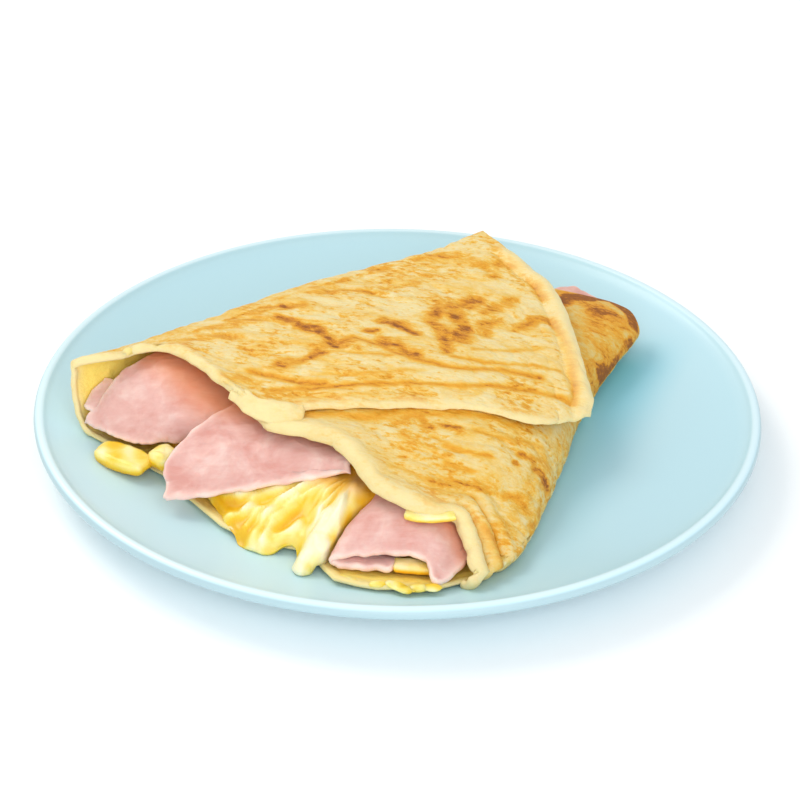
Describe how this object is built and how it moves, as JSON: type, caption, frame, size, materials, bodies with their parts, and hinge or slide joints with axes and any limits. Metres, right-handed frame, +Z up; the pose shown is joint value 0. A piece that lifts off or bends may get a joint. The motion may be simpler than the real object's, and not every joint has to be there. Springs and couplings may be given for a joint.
{
  "type": "savory crepe on a plate",
  "caption": "Folded savory crepe filled with ham and melted cheese, lying on a round pale blue plate.",
  "frame": {"origin": "centre of the plate's foot, on the surface that it rests on", "axes": "+Z up; +X to the right and +Y away as seen from the roll's open mouth side, which faces the viewer"},
  "size_m": [0.26, 0.2594, 0.0401],
  "materials": {
    "glaze": "glossy pale blue glaze",
    "crepe": "soft, browned in spots and streaks",
    "ham": "moist satin",
    "cheese": "moist, half glossy"
  },
  "bodies": {
    "root": {"plate": "glaze", "crepe": "crepe", "ham_left": "ham", "ham_middle": "ham", "ham_right": "ham", "ham_tail": "ham", "cheese_melt": "cheese", "cheese_chunk_outer": "cheese", "cheese_chunk_inner": "cheese", "cheese_slice": "cheese", "cheese_strip": "cheese"}
  },
  "joints": []
}
